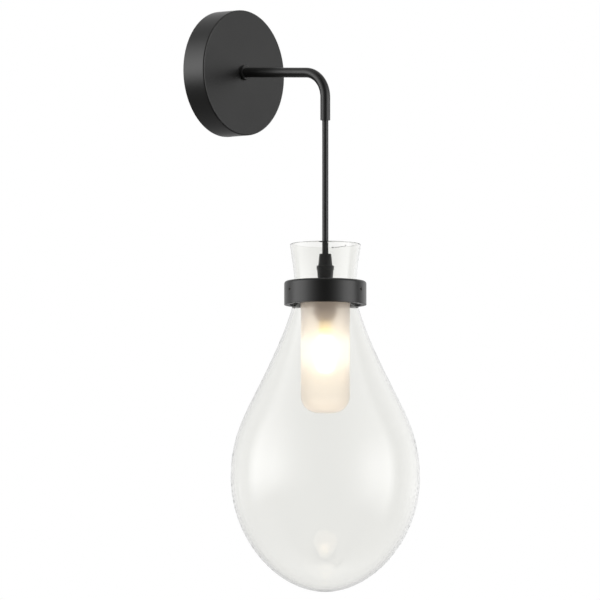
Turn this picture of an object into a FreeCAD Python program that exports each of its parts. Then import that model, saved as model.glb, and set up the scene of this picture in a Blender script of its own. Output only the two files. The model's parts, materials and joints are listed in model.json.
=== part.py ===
import FreeCAD, Part
import math
import os

# A wall sconce: a round steel canopy carries a bent tube arm, a short cord hangs from the
# arm's mouth, and the cord carries a lamp in a frosted glass tube inside a large clear shade.
# The clear shade is one blown piece with a flared crown, a waist and a drop-shaped belly.
# A black collar ring sits round the waist, and three radial screws through the glass tie the
# ring to the cup that holds the lamp.
#
# Frame: millimetres, Z up, the wall is the plane Y = 0 and the room is at negative Y.
# The origin is on the wall behind the canopy's centre, level with the arm's root. From there
# the arm dips a little towards its outer end.

full_turn = 360
half_turn = 180
quarter_turn = 90
third_turn = 120

# Fits that many pieces share
thread_gap = 0.08
screw_play = 0.15
slip_gap = 0.30
overrun = 1.0

# Canopy, the round cover on the wall
canopy_r = 60.325
canopy_depth = 25.4
canopy_wall = 1.2
canopy_edge_r = 1.4

# Wall bracket, a strap with a folded ear at each end
bracket_w = 24.0
bracket_t = 2.0
ear_w = 14.0
ear_depth = 14.0
slot_spacing = 88.9
slot_half_w = 2.6
slot_length = 12.0
wire_hole_r = 7.0

# Grub screws in the canopy's rim and in the collar ring
grub_r = 2.0
grub_socket_flats = 2.0
grub_socket_depth = 1.6
grub_sink = 0.2
rim_screw_depth = 8.0
rim_screw_length = 7.0

# Earth point on the bracket
earth_height = 22.0
earth_screw_r = 2.0
earth_head_r = 3.8
earth_head_h = 2.4
terminal_t = 0.8
terminal_r = 4.0
barrel_r = 1.7
barrel_length = 6.0
barrel_offset = 3.7

# Arm, one bent tube
arm_reach = 127.0
arm_dip = 6.3
arm_drop = 45.7
arm_root_straight = 2.0
arm_r = 4.75
arm_bore_r = 3.75
arm_bend_r = 25.4
arm_tail = 4.0
mouth_flare = 0.45
mouth_flare_h = 2.0

# What clamps the arm to the canopy
collar_r = 7.15
collar_t = 3.0
collar_chamfer = 0.5
washer_r = 8.0
washer_t = 1.0
washer_split = 1.2
arm_nut_flats = 14.0
arm_nut_t = 4.0

# Cord, its bushes and its cores
cord_r = 3.0
cord_bush_gap = 0.1
bush_length = 8.0
bush_flange_t = 1.0
jacket_tail = 1.7
core_r = 1.0
core_circle_r = 1.6
line_core_depth = 6.5
line_core_reach = 31.0
core_bend_r = 3.0

# Wire connectors, screwed on the ends of the two line cores
connector_length = 18.0
connector_mouth_r = 5.2
connector_tip_r = 4.0
connector_tip_round = 1.5
connector_start = 20.0
connector_funnel_r = 3.4
connector_funnel_depth = 6.0
connector_bore_depth = 12.0

# The bend of the cord in the arm's mouth
pivot_above_mouth = 1.5
knuckle_r = 2.6
knuckle_gap = 0.2
knuckle_half_gap = 1.0

# Free cord and the cord grip
cord_free_length = 128.5
grip_nut_h = 11.3
grip_nut_top_r = 5.7
grip_nut_foot_r = 6.85
grip_nut_roof = 2.6
spigot_r = 5.2
spigot_bore_r = 4.3
spigot_h = 8.0
sleeve_h = 6.8
sleeve_wall = 0.9
grip_flange_r = 8.35
grip_flange_h = 3.9
grip_flange_round = 0.6
grip_taper_top_r = 7.9
grip_taper_foot_r = 6.9
grip_taper_h = 12.6
cord_below_flange = 1.1

# Threaded hollow nipple that ties the grip, the cup and the lamp bracket together
nipple_r = 5.0
nipple_bore_r = 3.5
nipple_in_grip = 10.0
nipple_tail = 1.0
nipple_nut_flats = 14.0
nipple_nut_t = 3.0

# Cup that holds the frosted tube and takes the collar screws
cup_r = 26.0
cup_roof = 2.0
cup_thick_h = 11.2
cup_thick_wall = 3.5
cup_h = 20.5
cup_skirt_wall = 1.0

# Collar ring round the glass waist
ring_r = 39.35
ring_bore_r = 34.3
ring_h = 22.8
ring_above_cup = 1.7
ring_top_round = 2.7
ring_foot_round = 0.3
collar_screw_depth = 7.5
collar_screw_tip_r = 23.0
collar_screw_angle = -80

# Silicone sleeves in the three glass holes, and the split seat ring between ring and waist
screw_sleeve_wall = 1.1
sleeve_hole_gap = 0.1
seat_side_gap = 0.1
seat_inset = 0.7
seat_slit = 2.0

# Clear glass shade
glass_wall = 2.5
crown_r = 33.9
crown_h = 43.7
waist_r = 29.2
flank_r = 61.7
flank_depth = 87.5
belly_r = 90.4
belly_depth = 179.4
bowl_depth = 109.2
crown_slope_share = 0.14
flank_slope_share = 0.50
crown_handle_shares = (0.30, 0.32)
neck_handle_shares = (0.20, 0.37)
flank_handle_shares = (0.39, 0.41)
bowl_handle_shares = (0.54, 0.505)

# Frosted inner tube with a rolled flange, its washer and its threaded retainer
tube_r = 23.5
tube_wall = 2.0
tube_length = 113.0
tube_corner_r = 16.0
tube_flange_r = 24.7
tube_flange_t = 2.0
tube_washer_t = 0.8
tube_washer_bore_r = 20.0
retainer_h = 6.0
retainer_notches = 4
retainer_notch_w = 4.0
retainer_notch_h = 2.0

# Stirrup bracket for the lamp holder, and its screws
stirrup_t = 1.0
stirrup_w = 7.0
stirrup_leg = 18.0
stirrup_screw_drop = 14.0
stirrup_screw_r = 1.4
stirrup_screw_length = 4.0
stirrup_head_r = 2.6
stirrup_head_h = 1.6

# Ceramic lamp holder
holder_r = 10.9
holder_nose_r = 8.2
holder_below_roof = 8.0
holder_h = 27.0
holder_nose_h = 1.5
holder_taper_h = 4.0
holder_groove_h = 1.6
holder_groove_depth = 0.7
holder_groove_drop = 14.0
cable_slot_w = 13.0
cable_slot_t = 4.0
cable_slot_depth = 9.0

# Contacts in the holder and leads to them
pin_pitch = 9.0
contact_r = 1.6
contact_bore_r = 0.7
contact_length = 13.0
contact_sink = 2.0
lead_r = 0.9
lead_pitch = 3.0
lead_bend_r = 1.3
lead_entry = 1.0

# Lamp capsule
pin_r = 0.5
pin_length = 14.0
pin_in_pinch = 4.0
pinch_w = 14.0
pinch_t = 4.5
pinch_h = 12.0
pinch_corner_r = 1.0
capsule_r = 7.0
capsule_wall = 0.8
capsule_h = 36.0
capsule_step = 1.5
filament_r = 0.9
filament_leg_r = 0.3
filament_span = 6.0
filament_drop = 12.0

# Places worked out from the sizes above
arm_root_y = -canopy_depth - collar_t - arm_root_straight
mouth_z = -arm_dip - arm_drop
pivot_z = mouth_z + pivot_above_mouth
grip_top_z = mouth_z - cord_free_length
grip_nut_foot_z = grip_top_z - grip_nut_h
grip_flange_foot_z = grip_nut_foot_z - grip_flange_h
cup_top_z = grip_flange_foot_z - grip_taper_h
cord_end_z = grip_flange_foot_z - cord_below_flange
ring_top_z = cup_top_z + ring_above_cup
collar_screw_z = cup_top_z - collar_screw_depth
cup_shelf_z = cup_top_z - cup_thick_h
tube_top_z = cup_shelf_z - tube_washer_t
stirrup_top_z = cup_top_z - cup_roof
nipple_nut_top_z = stirrup_top_z - stirrup_t
nipple_foot_z = nipple_nut_top_z - nipple_nut_t - nipple_tail
holder_top_z = stirrup_top_z - holder_below_roof
holder_foot_z = holder_top_z - holder_h
capsule_top_z = holder_foot_z - slip_gap - pinch_h
canopy_face_y = canopy_wall - canopy_depth
arm_inner_y = canopy_face_y + washer_t + arm_nut_t + arm_tail
jacket_end_y = arm_inner_y + bush_flange_t + jacket_tail
cord_hole_r = cord_r + slip_gap

X = FreeCAD.Vector(1, 0, 0)
Y = FreeCAD.Vector(0, 1, 0)
Z = FreeCAD.Vector(0, 0, 1)
ORIGIN = FreeCAD.Vector(0, 0, 0)


def at(x, y, z):
    return FreeCAD.Vector(x, y, z)


def hung(x, z):
    """A point in the plane of the pendant's axis, which is parallel to the wall."""
    return at(x, -arm_reach, z)


def rod(radius, start, end):
    """A round bar between two points."""
    way = end - start
    return Part.makeCylinder(radius, way.Length, start, way)


def block(x_size, y_size, z_size, centre):
    """A box about its centre."""
    corner = centre - at(x_size / 2, y_size / 2, z_size / 2)
    return Part.makeBox(x_size, y_size, z_size, corner)


def hexagon(flats, length, start, way):
    """A six-sided bar that starts at a point."""
    across = way.cross(Z)
    if across.Length == 0:
        across = FreeCAD.Vector(X)
    across.normalize()
    corner_r = flats / math.sqrt(3)
    corners = [start + FreeCAD.Rotation(way, turn).multVec(across) * corner_r
               for turn in range(0, full_turn, full_turn // 6)]
    return Part.Face(Part.makePolygon(corners + corners[:1])).extrude(way * length)


def lathe(corners, rounds=()):
    """A piece turned about the pendant's axis, from the (radius, height) corners of its section."""
    points = [hung(radius, z) for radius, z in corners]
    section = Part.Face(Part.makePolygon(points + points[:1]))
    piece = section.revolve(hung(0, 0), Z, full_turn)
    for radius, z, size in rounds:
        piece = piece.makeFillet(size, circles(piece, radius, z))
    return piece


def circles(piece, radius, z):
    """The round edges of a piece that have one radius and lie at one height."""
    found = []
    for edge in piece.Edges:
        round_edge = isinstance(edge.Curve, Part.Circle)
        if round_edge and abs(edge.Curve.Radius - radius) + abs(edge.Curve.Center.z - z) < thread_gap / 2:
            found.append(edge)
    return found


def bent_path(corners, bend_r):
    """Straight runs between corners, joined by tangent arcs of one radius."""
    edges = []
    start = corners[0]
    for before, corner, after in zip(corners, corners[1:], corners[2:]):
        back = (before - corner).normalize()
        ahead = (after - corner).normalize()
        half_opening = back.getAngle(ahead) / 2
        tangent = bend_r / math.tan(half_opening)
        middle = (back + ahead).normalize() * (bend_r / math.sin(half_opening) - bend_r)
        arc_start = corner + back * tangent
        arc_end = corner + ahead * tangent
        edges.append(Part.makeLine(start, arc_start))
        edges.append(Part.Arc(arc_start, corner + middle, arc_end).toShape())
        start = arc_end
    edges.append(Part.makeLine(start, corners[-1]))
    return Part.Wire(edges)


def pipe(corners, radius, bend_r):
    """A round bar along a bent path."""
    path = bent_path(corners, bend_r)
    section = Part.Wire(Part.makeCircle(radius, corners[0], corners[1] - corners[0]))
    return path.makePipeShell([section], True, False)


def outwards(turn):
    """The level direction at a turn about the upright axis, counted from X."""
    return FreeCAD.Rotation(Z, turn).multVec(X)


def collar_screw_ways():
    """The three directions of the collar screws."""
    return [outwards(collar_screw_angle + step) for step in range(0, full_turn, third_turn)]


def radial(radius, near_r, far_r, way):
    """A bar that runs outwards from the pendant's axis at the collar screws' height."""
    centre = hung(0, collar_screw_z)
    return rod(radius, centre + way * near_r, centre + way * far_r)


def group(solids):
    """Separate solids that share a node."""
    return Part.makeCompound(solids)


# Wall side

def ear_reach():
    """How far the ears' outer faces lie from the middle, inside the canopy's rim."""
    room = canopy_r - canopy_wall - slip_gap
    return math.sqrt(room ** 2 - (ear_w / 2) ** 2)


def slot(z):
    """A cutter for one slot, which runs up and down the strap."""
    straight = slot_length / 2 - slot_half_w
    cutter = block(slot_half_w * 2, bracket_t + overrun * 2, straight * 2, at(0, -bracket_t / 2, z))
    for end in (-straight, straight):
        start = at(0, overrun, z + end)
        cutter = cutter.fuse(Part.makeCylinder(slot_half_w, bracket_t + overrun * 2, start, -Y))
    return cutter


def wall_bracket():
    reach = ear_reach()
    strap = block(bracket_w, bracket_t, reach * 2, at(0, -bracket_t / 2, 0))
    strap = strap.common(Part.makeCylinder(canopy_r - canopy_wall - slip_gap, bracket_t, ORIGIN, -Y))
    for side in (-1, 1):
        ear_z = side * (reach - bracket_t / 2)
        strap = strap.fuse(block(ear_w, ear_depth, bracket_t, at(0, -ear_depth / 2, ear_z)))
    for side in (-1, 1):
        strap = strap.cut(slot(side * slot_spacing / 2))
        hole_start = at(0, -rim_screw_depth, side * (reach - bracket_t - overrun))
        hole_end = at(0, -rim_screw_depth, side * (reach + overrun))
        strap = strap.cut(rod(grub_r + thread_gap, hole_start, hole_end))
    strap = strap.cut(rod(wire_hole_r, at(0, overrun, 0), at(0, -bracket_t - overrun, 0)))
    earth_start = at(0, overrun, earth_height)
    earth_end = at(0, -bracket_t - overrun, earth_height)
    return strap.cut(rod(earth_screw_r + thread_gap, earth_start, earth_end)).removeSplitter()


def grub_screw(outer, way, length):
    """A headless screw that ends at a point, with a hexagon socket in that end."""
    screw = rod(grub_r, outer - way * length, outer)
    return screw.cut(hexagon(grub_socket_flats, grub_socket_depth, outer - way * grub_socket_depth, way))


def canopy_screws():
    screws = []
    for way in (Z, -Z):
        outer = at(0, -rim_screw_depth, 0) + way * (canopy_r - grub_sink)
        screws.append(grub_screw(outer, way, rim_screw_length))
    return group(screws)


def ground_screw():
    seat_y = -bracket_t - terminal_t
    shank = rod(earth_screw_r, at(0, seat_y, earth_height), at(0, -slip_gap, earth_height))
    head = rod(earth_head_r, at(0, seat_y - earth_head_h, earth_height), at(0, seat_y, earth_height))
    round_edge = [edge for edge in head.Edges if edge.BoundBox.YMax < seat_y - earth_head_h / 2]
    head = head.makeFillet(earth_head_h / 3, round_edge)
    slot_cut = block(earth_head_r * 2, earth_head_h / 2, earth_head_h / 3,
                     at(0, seat_y - earth_head_h, earth_height))
    return head.fuse(shank).removeSplitter().cut(slot_cut)


def ground_terminal():
    face_y = -bracket_t
    top_y = face_y - terminal_t
    eye = rod(terminal_r, at(0, face_y, earth_height), at(0, top_y, earth_height))
    barrel_top = earth_height - terminal_r - screw_play
    tongue_h = terminal_r + barrel_r
    tongue = block(barrel_r * 2, terminal_t, tongue_h,
                   at(0, face_y - terminal_t / 2, barrel_top - barrel_r + tongue_h / 2))
    barrel_foot = barrel_top - barrel_length
    barrel = rod(barrel_r, at(0, -barrel_offset, barrel_foot), at(0, -barrel_offset, barrel_top))
    body = eye.fuse(tongue).fuse(barrel)
    body = body.cut(rod(earth_screw_r + screw_play, at(0, face_y + overrun, earth_height),
                        at(0, top_y - overrun, earth_height)))
    bore_low = at(0, -barrel_offset, barrel_foot - overrun)
    return body.cut(rod(core_r + thread_gap, bore_low, at(0, -barrel_offset, barrel_top - barrel_r)))


def ground_wire():
    end_z = earth_height - terminal_r - barrel_r - slip_gap
    corners = [at(0, jacket_end_y, core_circle_r),
               at(0, -barrel_offset, core_circle_r),
               at(0, -barrel_offset, end_z)]
    return pipe(corners, core_r, core_bend_r)


def line_wires():
    spread = core_circle_r * math.cos(math.radians(third_turn - quarter_turn))
    drop = -core_circle_r * math.sin(math.radians(third_turn - quarter_turn))
    wires = []
    for side in (-1, 1):
        corners = [at(side * spread, jacket_end_y, drop),
                   at(side * spread, -line_core_depth, drop),
                   at(side * line_core_reach, -line_core_depth, drop)]
        wires.append(pipe(corners, core_r, core_bend_r))
    return group(wires)


def wire_connector(side):
    """A tapered cap with a funnel at its mouth, screwed on the end of one core."""
    drop = -core_circle_r * math.sin(math.radians(third_turn - quarter_turn))
    way = X * side
    mouth = at(0, -line_core_depth, drop) + way * connector_start
    cap = Part.makeCone(connector_mouth_r, connector_tip_r, connector_length, mouth, way)
    tip = [edge for edge in cap.Edges
           if abs(edge.BoundBox.Center.x) > connector_start + connector_length - thread_gap]
    cap = cap.makeFillet(connector_tip_round, tip)
    hole_r = core_r + thread_gap
    funnel = Part.makeCone(connector_funnel_r, hole_r, connector_funnel_depth, mouth, way)
    return cap.cut(funnel).cut(Part.makeCylinder(hole_r, connector_bore_depth, mouth, way))


def wire_connectors():
    return group([wire_connector(-1), wire_connector(1)])


def canopy():
    shell = Part.makeCylinder(canopy_r, canopy_depth, ORIGIN, -Y)
    front = [edge for edge in shell.Edges if edge.BoundBox.YMax < -canopy_depth / 2]
    shell = shell.makeFillet(canopy_edge_r, front)
    hollow = Part.makeCylinder(canopy_r - canopy_wall, canopy_depth - canopy_wall + overrun,
                               at(0, overrun, 0), -Y)
    shell = shell.cut(hollow)
    shell = shell.cut(rod(arm_r + thread_gap, at(0, canopy_face_y + overrun, 0),
                          at(0, -canopy_depth - overrun, 0)))
    through = canopy_r + overrun
    return shell.cut(rod(grub_r + screw_play, at(0, -rim_screw_depth, -through),
                         at(0, -rim_screw_depth, through)))


# Arm

def arm_route(inner_y, outer_z):
    """The arm's line: square to the canopy, then dipping outwards, then down to its mouth."""
    return [at(0, inner_y, 0), at(0, arm_root_y, 0), hung(0, -arm_dip), hung(0, outer_z)]


def arm_tube():
    outside = pipe(arm_route(arm_inner_y, mouth_z), arm_r, arm_bend_r)
    bore = pipe(arm_route(arm_inner_y + overrun, mouth_z - overrun), arm_bore_r, arm_bend_r)
    flare = Part.makeCone(arm_bore_r + mouth_flare, arm_bore_r, mouth_flare_h, hung(0, mouth_z), Z)
    return outside.cut(bore).cut(flare)


def arm_collar():
    collar = Part.makeCylinder(collar_r, collar_t, at(0, -canopy_depth, 0), -Y)
    front = [edge for edge in collar.Edges if edge.BoundBox.YMax < -canopy_depth - collar_t / 2]
    collar = collar.makeChamfer(collar_chamfer, front)
    return collar.cut(rod(arm_r + thread_gap, ORIGIN, at(0, -arm_reach / 2, 0)))


def arm_lock_washer():
    ring = Part.makeCylinder(washer_r, washer_t, at(0, canopy_face_y, 0), Y)
    ring = ring.cut(rod(arm_r + thread_gap, ORIGIN, at(0, -arm_reach / 2, 0)))
    middle_y = canopy_face_y + washer_t / 2
    return ring.cut(block(washer_split, washer_t * 2, washer_r, at(0, middle_y, washer_r / 2 + arm_r / 2)))


def arm_lock_nut():
    nut = hexagon(arm_nut_flats, arm_nut_t, at(0, canopy_face_y + washer_t, 0), Y)
    return nut.cut(rod(arm_r + thread_gap, ORIGIN, at(0, -arm_reach / 2, 0)))


def arm_end_bush():
    """An insulating bush with a flange, pushed into the tube's end behind the canopy."""
    stem = rod(arm_bore_r - thread_gap, at(0, arm_inner_y - bush_length, 0), at(0, arm_inner_y, 0))
    flange = rod(arm_r, at(0, arm_inner_y, 0), at(0, arm_inner_y + bush_flange_t, 0))
    hole = rod(cord_r + cord_bush_gap, at(0, arm_inner_y - bush_length - overrun, 0),
               at(0, arm_inner_y + bush_flange_t + overrun, 0))
    return stem.fuse(flange).cut(hole)


def mouth_bush():
    """A plain bush that centres the cord in the tube above its bend."""
    low = pivot_z + knuckle_half_gap + knuckle_gap
    return lathe([(cord_r + cord_bush_gap, low), (arm_bore_r - thread_gap, low),
                  (arm_bore_r - thread_gap, low + bush_length), (cord_r + cord_bush_gap, low + bush_length)])


# Cord

def knuckle_seat():
    """A cutter that hollows the cord's two ends round the bend."""
    return Part.makeSphere(knuckle_r + knuckle_gap, hung(0, pivot_z))


def arm_cord():
    route = arm_route(jacket_end_y, pivot_z + knuckle_half_gap)
    return pipe(route, cord_r, arm_bend_r).cut(knuckle_seat())


def cord_bend():
    return Part.makeSphere(knuckle_r, hung(0, pivot_z))


def pendant_cord():
    straight = rod(cord_r, hung(0, pivot_z - knuckle_half_gap), hung(0, cord_end_z))
    return straight.cut(knuckle_seat())


# Cord grip

def grip_nut():
    roof_z = grip_top_z - grip_nut_roof
    cavity_r = spigot_r + screw_play
    return lathe([(cord_hole_r, grip_top_z), (grip_nut_top_r, grip_top_z),
                  (grip_nut_foot_r, grip_nut_foot_z), (cavity_r, grip_nut_foot_z),
                  (cavity_r, roof_z), (cord_hole_r, roof_z)])


def grip_sleeve():
    low = grip_nut_foot_z + (spigot_h - sleeve_h)
    return lathe([(cord_hole_r, low), (cord_hole_r + sleeve_wall, low),
                  (cord_hole_r + sleeve_wall, low + sleeve_h), (cord_hole_r, low + sleeve_h)])


def grip_body():
    spigot_top = grip_nut_foot_z + spigot_h
    cavity_foot = spigot_top - sleeve_h
    nipple_hole_r = nipple_r + thread_gap
    nipple_top = cup_top_z + nipple_in_grip
    corners = [(spigot_bore_r, spigot_top), (spigot_r, spigot_top), (spigot_r, grip_nut_foot_z),
               (grip_flange_r, grip_nut_foot_z), (grip_flange_r, grip_flange_foot_z),
               (grip_taper_top_r, grip_flange_foot_z), (grip_taper_foot_r, cup_top_z),
               (nipple_hole_r, cup_top_z), (nipple_hole_r, nipple_top), (cord_hole_r, nipple_top),
               (cord_hole_r, cavity_foot), (spigot_bore_r, cavity_foot)]
    return lathe(corners, [(grip_flange_r, grip_nut_foot_z, grip_flange_round),
                           (grip_flange_r, grip_flange_foot_z, grip_flange_round / 2)])


def nipple():
    top = cup_top_z + nipple_in_grip - thread_gap
    return lathe([(nipple_bore_r, top), (nipple_r, top),
                  (nipple_r, nipple_foot_z), (nipple_bore_r, nipple_foot_z)])


def nipple_nut():
    nut = hexagon(nipple_nut_flats, nipple_nut_t, hung(0, nipple_nut_top_z), -Z)
    return nut.cut(rod(nipple_r + thread_gap, hung(0, cup_top_z), hung(0, nipple_foot_z)))


# Cup, collar ring and glass

def holder_cup():
    foot_z = cup_top_z - cup_h
    hole_r = nipple_r + thread_gap
    thick_r = cup_r - cup_thick_wall
    skirt_r = cup_r - cup_skirt_wall
    cup = lathe([(hole_r, cup_top_z), (cup_r, cup_top_z), (cup_r, foot_z), (skirt_r, foot_z),
                 (skirt_r, cup_shelf_z), (thick_r, cup_shelf_z), (thick_r, stirrup_top_z),
                 (hole_r, stirrup_top_z)], [(cup_r, cup_top_z, cup_skirt_wall)])
    for way in collar_screw_ways():
        cup = cup.cut(radial(grub_r + thread_gap, cup_r / 2, ring_r, way))
    return cup


def collar_ring():
    foot_z = ring_top_z - ring_h
    ring = lathe([(ring_bore_r, ring_top_z), (ring_r, ring_top_z), (ring_r, foot_z), (ring_bore_r, foot_z)],
                 [(ring_r, ring_top_z, ring_top_round), (ring_r, foot_z, ring_foot_round)])
    for way in collar_screw_ways():
        ring = ring.cut(radial(grub_r + thread_gap, waist_r, ring_r + overrun, way))
    return ring


def collar_screws():
    centre = hung(0, collar_screw_z)
    length = ring_r - grub_sink - collar_screw_tip_r
    return group([grub_screw(centre + way * (ring_r - grub_sink), way, length)
                  for way in collar_screw_ways()])


def screw_sleeve_r():
    return grub_r + thread_gap + screw_sleeve_wall


def screw_sleeves():
    near = cup_r + thread_gap
    far = waist_r + thread_gap
    sleeves = []
    for way in collar_screw_ways():
        bore = radial(grub_r + thread_gap, cup_r / 2, ring_r, way)
        sleeves.append(radial(screw_sleeve_r(), near, far, way).cut(bore))
    return group(sleeves)


def neck_seat():
    """The soft ring that fills the collar, split so that it opens over the glass crown."""
    top = ring_top_z - seat_inset
    foot = ring_top_z - ring_h + seat_inset
    outer_r = ring_bore_r - seat_side_gap
    seat = lathe([(0, top), (outer_r, top), (outer_r, foot), (0, foot)])
    seat = seat.cut(glass_body(-slip_gap))
    slit = block(ring_r, seat_slit, ring_h * 2, at(ring_r / 2, 0, ring_top_z))
    slit.rotate(ORIGIN, Z, collar_screw_angle + half_turn)
    slit.translate(hung(0, 0))
    seat = seat.cut(slit)
    for way in collar_screw_ways():
        seat = seat.cut(radial(grub_r + screw_play, cup_r, ring_r, way))
    return seat


def curve(start, first_handle, second_handle, end):
    """A smooth curve between two points of a section, pulled towards two handles."""
    shape = Part.BezierCurve()
    shape.setPoles([hung(*start), hung(*first_handle), hung(*second_handle), hung(*end)])
    return shape.toShape()


def glass_outline(inset):
    """The shade's section curves from the crown down to the bottom, an inset inside its skin."""
    waist_z = collar_screw_z
    crown_z = waist_z + crown_h
    flank_z = waist_z - flank_depth
    belly_z = waist_z - belly_depth
    bottom_z = belly_z - bowl_depth + inset
    bowl = belly_z - bottom_z
    crown_pull = crown_handle_shares[0] * crown_h
    flank_pull = neck_handle_shares[1] * flank_depth
    belly_pull = flank_handle_shares[0] * (belly_depth - flank_depth)
    crown = (crown_r - inset, crown_z)
    waist = (waist_r - inset, waist_z)
    flank = (flank_r - inset, flank_z)
    belly = (belly_r - inset, belly_z)
    return [
        curve(crown, (crown[0] - crown_slope_share * crown_pull, crown_z - crown_pull),
              (waist[0], waist_z + crown_handle_shares[1] * crown_h), waist),
        curve(waist, (waist[0], waist_z - neck_handle_shares[0] * flank_depth),
              (flank[0] - flank_slope_share * flank_pull, flank_z + flank_pull), flank),
        curve(flank, (flank[0] + flank_slope_share * belly_pull, flank_z - belly_pull),
              (belly[0], belly_z + flank_handle_shares[1] * (belly_depth - flank_depth)), belly),
        curve(belly, (belly[0], belly_z - bowl_handle_shares[0] * bowl),
              (bowl_handle_shares[1] * belly[0], bottom_z), (0, bottom_z)),
    ]


def glass_body(inset):
    """A solid body bounded by the shade's skin, an inset inside it."""
    outline = glass_outline(inset)
    top = outline[0].Vertexes[0].Point
    foot = outline[-1].Vertexes[-1].Point
    centre_top = hung(0, top.z)
    outline += [Part.makeLine(foot, centre_top), Part.makeLine(centre_top, top)]
    return Part.Face(Part.Wire(outline)).revolve(hung(0, 0), Z, full_turn)


def glass_shade():
    skin = glass_outline(0)
    inner = glass_outline(glass_wall)
    rim_out = skin[0].Vertexes[0].Point
    rim_in = inner[0].Vertexes[0].Point
    rim_top = (rim_out + rim_in) / 2 + Z * (glass_wall / 2)
    rim = Part.Arc(rim_in, rim_top, rim_out).toShape()
    foot = Part.makeLine(skin[-1].Vertexes[-1].Point, inner[-1].Vertexes[-1].Point)
    section = Part.Face(Part.Wire(Part.__sortEdges__(skin + inner + [rim, foot])))
    shade = section.revolve(hung(0, 0), Z, full_turn)
    for way in collar_screw_ways():
        shade = shade.cut(radial(screw_sleeve_r() + sleeve_hole_gap, cup_r / 2, ring_r, way))
    return shade


# Frosted tube

def frosted_tube():
    foot_z = tube_top_z - tube_length
    flange_z = tube_top_z - tube_flange_t
    outside = lathe([(0, tube_top_z), (tube_flange_r, tube_top_z), (tube_flange_r, flange_z),
                     (tube_r, flange_z), (tube_r, foot_z), (0, foot_z)],
                    [(tube_r, foot_z, tube_corner_r)])
    inner_r = tube_r - tube_wall
    inside = lathe([(0, tube_top_z + overrun), (inner_r, tube_top_z + overrun),
                    (inner_r, foot_z + tube_wall), (0, foot_z + tube_wall)],
                   [(inner_r, foot_z + tube_wall, tube_corner_r - tube_wall)])
    return outside.cut(inside)


def tube_washer():
    return lathe([(tube_washer_bore_r, cup_shelf_z), (tube_flange_r, cup_shelf_z),
                  (tube_flange_r, tube_top_z), (tube_washer_bore_r, tube_top_z)])


def tube_retainer():
    top = tube_top_z - tube_flange_t
    foot = top - retainer_h
    outer_r = cup_r - cup_skirt_wall - thread_gap
    ring = lathe([(tube_r + slip_gap, top), (outer_r, top), (outer_r, foot), (tube_r + slip_gap, foot)])
    for step in range(retainer_notches):
        notch = block(cup_r * 2, retainer_notch_w, retainer_notch_h * 2, at(cup_r, 0, foot))
        notch.rotate(ORIGIN, Z, full_turn * step / retainer_notches)
        notch.translate(hung(0, 0))
        ring = ring.cut(notch)
    return ring


# Lamp holder

def holder_bracket():
    leg_x = holder_r + slip_gap + stirrup_t / 2
    plate = block(leg_x * 2 + stirrup_t, stirrup_w, stirrup_t, hung(0, stirrup_top_z - stirrup_t / 2))
    disc = rod(nipple_r + stirrup_w / 2, hung(0, stirrup_top_z - stirrup_t), hung(0, stirrup_top_z))
    stirrup = plate.fuse(disc)
    for side in (-1, 1):
        leg = block(stirrup_t, stirrup_w, stirrup_leg, hung(side * leg_x, stirrup_top_z - stirrup_leg / 2))
        stirrup = stirrup.fuse(leg)
    screw_z = stirrup_top_z - stirrup_screw_drop
    stirrup = stirrup.cut(rod(stirrup_screw_r + screw_play, hung(-cup_r, screw_z), hung(cup_r, screw_z)))
    hole = rod(nipple_r + thread_gap, hung(0, cup_top_z), hung(0, nipple_foot_z))
    return stirrup.cut(hole).removeSplitter()


def bracket_screws():
    screw_z = stirrup_top_z - stirrup_screw_drop
    seat_x = holder_r + slip_gap + stirrup_t
    screws = []
    for side in (-1, 1):
        seat = hung(side * seat_x, screw_z)
        shank = rod(stirrup_screw_r, seat - X * side * stirrup_screw_length, seat)
        head = rod(stirrup_head_r, seat, seat + X * side * stirrup_head_h)
        screws.append(shank.fuse(head).removeSplitter())
    return group(screws)


def lamp_holder():
    nose_top = holder_foot_z + holder_nose_h
    taper_top = nose_top + holder_taper_h
    groove_z = holder_top_z - holder_groove_drop
    groove_r = holder_r - holder_groove_depth
    body = lathe([(0, holder_top_z), (holder_r, holder_top_z), (holder_r, groove_z),
                  (groove_r, groove_z), (groove_r, groove_z - holder_groove_h),
                  (holder_r, groove_z - holder_groove_h), (holder_r, taper_top),
                  (holder_nose_r, nose_top), (holder_nose_r, holder_foot_z), (0, holder_foot_z)])
    body = body.cut(block(cable_slot_w, cable_slot_t, cable_slot_depth * 2, hung(0, holder_top_z)))
    screw_z = stirrup_top_z - stirrup_screw_drop
    for side in (-1, 1):
        seat_x = side * (holder_r + slip_gap + stirrup_t)
        tip_x = seat_x - side * (stirrup_screw_length + screw_play)
        body = body.cut(rod(stirrup_screw_r + thread_gap, hung(tip_x, screw_z), hung(seat_x, screw_z)))
        pin_x = side * pin_pitch / 2
        hole_r = contact_r + thread_gap
        body = body.cut(rod(hole_r, hung(pin_x, holder_foot_z - overrun),
                            hung(pin_x, holder_top_z - cable_slot_depth + overrun)))
    return body


def lamp_contacts():
    low = holder_foot_z + contact_sink
    contacts = []
    for side in (-1, 1):
        foot = hung(side * pin_pitch / 2, low)
        outside = rod(contact_r, foot, foot + Z * contact_length)
        bore = rod(contact_bore_r, foot - Z * overrun, foot + Z * (contact_length - overrun))
        contacts.append(outside.cut(bore))
    return group(contacts)


def lamp_leads():
    top = cord_end_z - slip_gap
    turn_z = holder_top_z - lead_entry
    foot = holder_foot_z + contact_sink + contact_length
    leads = []
    for side in (-1, 1):
        near = side * lead_pitch / 2
        far = side * pin_pitch / 2
        drop = pin_pitch - lead_pitch
        corners = [hung(near, top), hung(near, turn_z), hung(far, turn_z - drop / 2), hung(far, foot)]
        leads.append(pipe(corners, lead_r, lead_bend_r))
    return group(leads)


# Lamp capsule

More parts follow.
